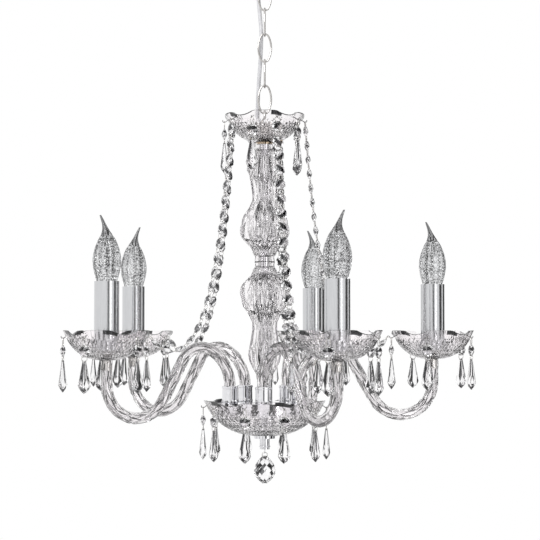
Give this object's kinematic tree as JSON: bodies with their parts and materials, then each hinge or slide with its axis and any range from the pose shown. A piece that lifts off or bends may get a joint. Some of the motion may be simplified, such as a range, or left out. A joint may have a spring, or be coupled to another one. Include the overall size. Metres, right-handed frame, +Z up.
{
  "type": "candle chandelier",
  "caption": "Cut-glass chandelier hung on a chain, with curved glass arms, scalloped dishes, candle-style lights with flame bulbs, bead garlands and faceted pendants.",
  "frame": {"origin": "centre of the ceiling strap top face, between its two screw holes, at the ceiling", "axes": "+Z up into the ceiling; the picture looks along +Y with +X to the right"},
  "size_m": [0.4796, 0.4849, 0.6373],
  "materials": {
    "cut_glass": "clear cut glass",
    "crystal": "polished faceted crystal on plated wire rings",
    "bulb_glass": "clear ribbed glass on a nickel cap",
    "chrome": "bright plated",
    "satin_sleeve": "satin plated",
    "gilt": "gilt",
    "flex_sheath": "smooth sheath",
    "clear_plastic": "clear moulded",
    "white_plastic": "moulded"
  },
  "bodies": {
    "ceiling": {"ceiling_bracket": "chrome", "ceiling_cup": "chrome", "lock_nut": "chrome", "ceiling_loop": "chrome", "terminal_block": "white_plastic", "flex_grip": "clear_plastic", "flex": "flex_sheath"},
    "link_1": {"chain_link_1": "chrome"},
    "link_2": {"chain_link_2": "chrome"},
    "link_3": {"chain_link_3": "chrome"},
    "link_4": {"chain_link_4": "chrome"},
    "link_5": {"chain_link_5": "chrome"},
    "chandelier": {"arm_1": "cut_glass", "arm_2": "cut_glass", "arm_3": "cut_glass", "arm_4": "cut_glass", "arm_5": "cut_glass", "arm_cups": "chrome", "bottom_dish": "cut_glass", "bottom_pendants": "crystal", "candle_sleeve_1": "satin_sleeve", "candle_sleeve_2": "satin_sleeve", "candle_sleeve_3": "satin_sleeve", "candle_sleeve_4": "satin_sleeve", "candle_sleeve_5": "satin_sleeve", "crown_collar": "gilt", "crown_dish": "cut_glass", "crown_loop": "chrome", "crown_pendants": "crystal", "dish_1": "cut_glass", "dish_2": "cut_glass", "dish_3": "cut_glass", "dish_4": "cut_glass", "dish_5": "cut_glass", "dish_pendants": "crystal", "finial_cap": "chrome", "hub": "chrome", "hub_connector": "white_plastic", "hub_lid": "chrome", "lampholders": "white_plastic", "lower_baluster": "cut_glass", "stem_rod": "chrome", "upper_baluster": "cut_glass", "wiring": "flex_sheath"},
    "bulb_1_body": {"bulb_1": "bulb_glass"},
    "garland_1_body": {"garland_1": "crystal"},
    "swing_pendant_1_body": {"swing_pendant_1": "crystal"},
    "bulb_2_body": {"bulb_2": "bulb_glass"},
    "garland_2_body": {"garland_2": "crystal"},
    "swing_pendant_2_body": {"swing_pendant_2": "crystal"},
    "bulb_3_body": {"bulb_3": "bulb_glass"},
    "garland_3_body": {"garland_3": "crystal"},
    "swing_pendant_3_body": {"swing_pendant_3": "crystal"},
    "bulb_4_body": {"bulb_4": "bulb_glass"},
    "garland_4_body": {"garland_4": "crystal"},
    "swing_pendant_4_body": {"swing_pendant_4": "crystal"},
    "bulb_5_body": {"bulb_5": "bulb_glass"},
    "garland_5_body": {"garland_5": "crystal"},
    "swing_pendant_5_body": {"swing_pendant_5": "crystal"},
    "finial_ball_body": {"finial_ball": "crystal"}
  },
  "joints": [
    {"name": "chain_swing_1", "type": "hinge", "parent": "ceiling", "child": "link_1", "pos_m": [0, 0, -0.053], "axis": [0, 1, 0], "range_deg": [-12, 12], "deforming": ["flex"]},
    {"name": "chain_swing_2", "type": "hinge", "parent": "link_1", "child": "link_2", "pos_m": [0, 0, -0.083], "axis": [1, 0, 0], "range_deg": [-12, 12], "deforming": ["flex"]},
    {"name": "chain_swing_3", "type": "hinge", "parent": "link_2", "child": "link_3", "pos_m": [0, 0, -0.1134], "axis": [0, 1, 0], "range_deg": [-12, 12], "deforming": ["flex"]},
    {"name": "chain_swing_4", "type": "hinge", "parent": "link_3", "child": "link_4", "pos_m": [0, 0, -0.1438], "axis": [1, 0, 0], "range_deg": [-12, 12], "deforming": ["flex"]},
    {"name": "chain_swing_5", "type": "hinge", "parent": "link_4", "child": "link_5", "pos_m": [0, 0, -0.1742], "axis": [0, 1, 0], "range_deg": [-12, 12], "deforming": ["flex"]},
    {"name": "chain_swing_6", "type": "hinge", "parent": "link_5", "child": "chandelier", "pos_m": [0, 0, -0.2046], "axis": [1, 0, 0], "range_deg": [-12, 12], "deforming": ["flex"]},
    {"name": "bulb_1_lift", "type": "slide", "parent": "chandelier", "child": "bulb_1_body", "axis": [0, 0, 1], "range_m": [0, 0.05]},
    {"name": "bulb_2_lift", "type": "slide", "parent": "chandelier", "child": "bulb_2_body", "axis": [0, 0, 1], "range_m": [0, 0.05]},
    {"name": "bulb_3_lift", "type": "slide", "parent": "chandelier", "child": "bulb_3_body", "axis": [0, 0, 1], "range_m": [0, 0.05]},
    {"name": "bulb_4_lift", "type": "slide", "parent": "chandelier", "child": "bulb_4_body", "axis": [0, 0, 1], "range_m": [0, 0.05]},
    {"name": "bulb_5_lift", "type": "slide", "parent": "chandelier", "child": "bulb_5_body", "axis": [0, 0, 1], "range_m": [0, 0.05]},
    {"name": "garland_1_swing", "type": "hinge", "parent": "chandelier", "child": "garland_1_body", "pos_m": [0.04731, 0, -0.21527], "axis": [0.3615, 0.0525, -0.9309], "range_deg": [-12, 12]},
    {"name": "garland_2_swing", "type": "hinge", "parent": "chandelier", "child": "garland_2_body", "pos_m": [0.01462, 0.045, -0.21527], "axis": [0.1143, 0.3524, -0.9288], "range_deg": [-12, 12]},
    {"name": "garland_3_swing", "type": "hinge", "parent": "chandelier", "child": "garland_3_body", "pos_m": [-0.03828, 0.02781, -0.21527], "axis": [-0.2998, 0.2176, -0.9288], "range_deg": [-12, 12]},
    {"name": "garland_4_swing", "type": "hinge", "parent": "chandelier", "child": "garland_4_body", "pos_m": [-0.03828, -0.02781, -0.21527], "axis": [-0.3337, -0.1744, -0.9264], "range_deg": [-12, 12]},
    {"name": "garland_5_swing", "type": "hinge", "parent": "chandelier", "child": "garland_5_body", "pos_m": [0.01462, -0.045, -0.21527], "axis": [0.1563, -0.3308, -0.9307], "range_deg": [-12, 12]},
    {"name": "pendant_1_swing", "type": "hinge", "parent": "chandelier", "child": "swing_pendant_1_body", "pos_m": [0.23501, 0.05208, -0.46842], "axis": [0.748, 0.6637, 0], "range_deg": [-25, 25]},
    {"name": "pendant_2_swing", "type": "hinge", "parent": "chandelier", "child": "swing_pendant_2_body", "pos_m": [0.04682, 0.2381, -0.46842], "axis": [-0.3093, 0.951, 0], "range_deg": [-25, 25]},
    {"name": "pendant_3_swing", "type": "hinge", "parent": "chandelier", "child": "swing_pendant_3_body", "pos_m": [-0.21197, 0.1181, -0.46842], "axis": [-1, -0.0003, 0], "range_deg": [-25, 25]},
    {"name": "pendant_4_swing", "type": "hinge", "parent": "chandelier", "child": "swing_pendant_4_body", "pos_m": [-0.19486, -0.14718, -0.46842], "axis": [-0.4028, -0.9153, 0], "range_deg": [-25, 25]},
    {"name": "pendant_5_swing", "type": "hinge", "parent": "chandelier", "child": "swing_pendant_5_body", "pos_m": [0.1199, -0.20901, -0.46842], "axis": [0.8566, -0.516, 0], "range_deg": [-25, 25]},
    {"name": "ball_swing", "type": "hinge", "parent": "chandelier", "child": "finial_ball_body", "pos_m": [0, 0, -0.6024], "axis": [0, 1, 0], "range_deg": [-20, 20]}
  ]
}
